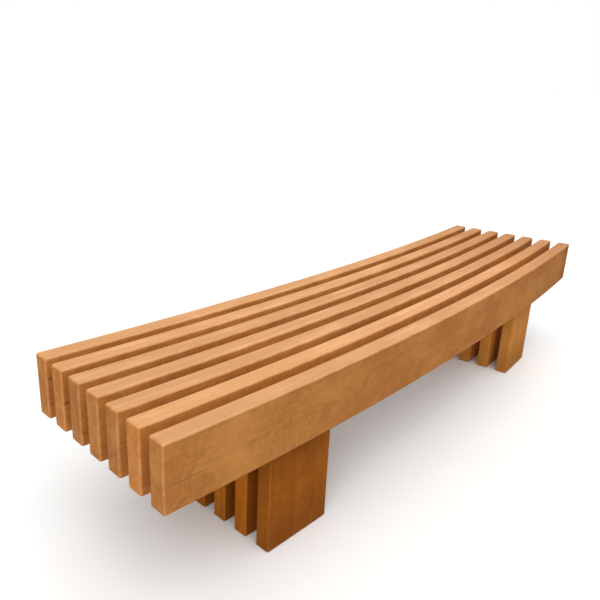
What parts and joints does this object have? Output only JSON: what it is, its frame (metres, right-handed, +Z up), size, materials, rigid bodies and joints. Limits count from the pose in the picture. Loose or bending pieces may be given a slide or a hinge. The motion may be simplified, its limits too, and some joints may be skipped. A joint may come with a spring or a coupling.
{
  "type": "backless bench",
  "caption": "Backless slatted bench for streets and parks: curved timber beams on edge, clamped onto two stations of timber blade legs.",
  "frame": {"origin": "on the ground under the middle of the bench's outline", "axes": "+X along the bench to its right end, +Y towards the inner, concave back, +Z up"},
  "size_m": [2.2484, 0.5707, 0.45],
  "materials": {
    "seat_timber": "satin",
    "leg_timber": "satin",
    "plug_timber": "satin",
    "stainless_steel": "satin",
    "foot_plastic": "matte",
    "spacer_plastic": "matte"
  },
  "bodies": {
    "root": {"seat_beam_1_front": "seat_timber", "seat_beam_2": "seat_timber", "seat_beam_3": "seat_timber", "seat_beam_4": "seat_timber", "seat_beam_5": "seat_timber", "seat_beam_6": "seat_timber", "seat_beam_7_back": "seat_timber", "leg_blade_left_1": "leg_timber", "leg_blade_left_2": "leg_timber", "leg_blade_left_3": "leg_timber", "leg_blade_left_4": "leg_timber", "leg_blade_left_5": "leg_timber", "leg_blade_left_6": "leg_timber", "leg_blade_right_1": "leg_timber", "leg_blade_right_2": "leg_timber", "leg_blade_right_3": "leg_timber", "leg_blade_right_4": "leg_timber", "leg_blade_right_5": "leg_timber", "leg_blade_right_6": "leg_timber", "foot_pad_left_1": "foot_plastic", "foot_pad_left_2": "foot_plastic", "foot_pad_left_3": "foot_plastic", "foot_pad_left_4": "foot_plastic", "foot_pad_left_5": "foot_plastic", "foot_pad_left_6": "foot_plastic", "foot_pad_right_1": "foot_plastic", "foot_pad_right_2": "foot_plastic", "foot_pad_right_3": "foot_plastic", "foot_pad_right_4": "foot_plastic", "foot_pad_right_5": "foot_plastic", "foot_pad_right_6": "foot_plastic", "foot_pad_screws": "stainless_steel", "tie_rods": "stainless_steel", "barrel_nuts": "stainless_steel", "barrel_hole_plugs": "plug_timber", "tie_rod_washers": "stainless_steel", "tie_rod_nuts": "stainless_steel", "tie_rod_cover_plugs": "plug_timber", "mid_span_spacers": "spacer_plastic"}
  },
  "joints": []
}
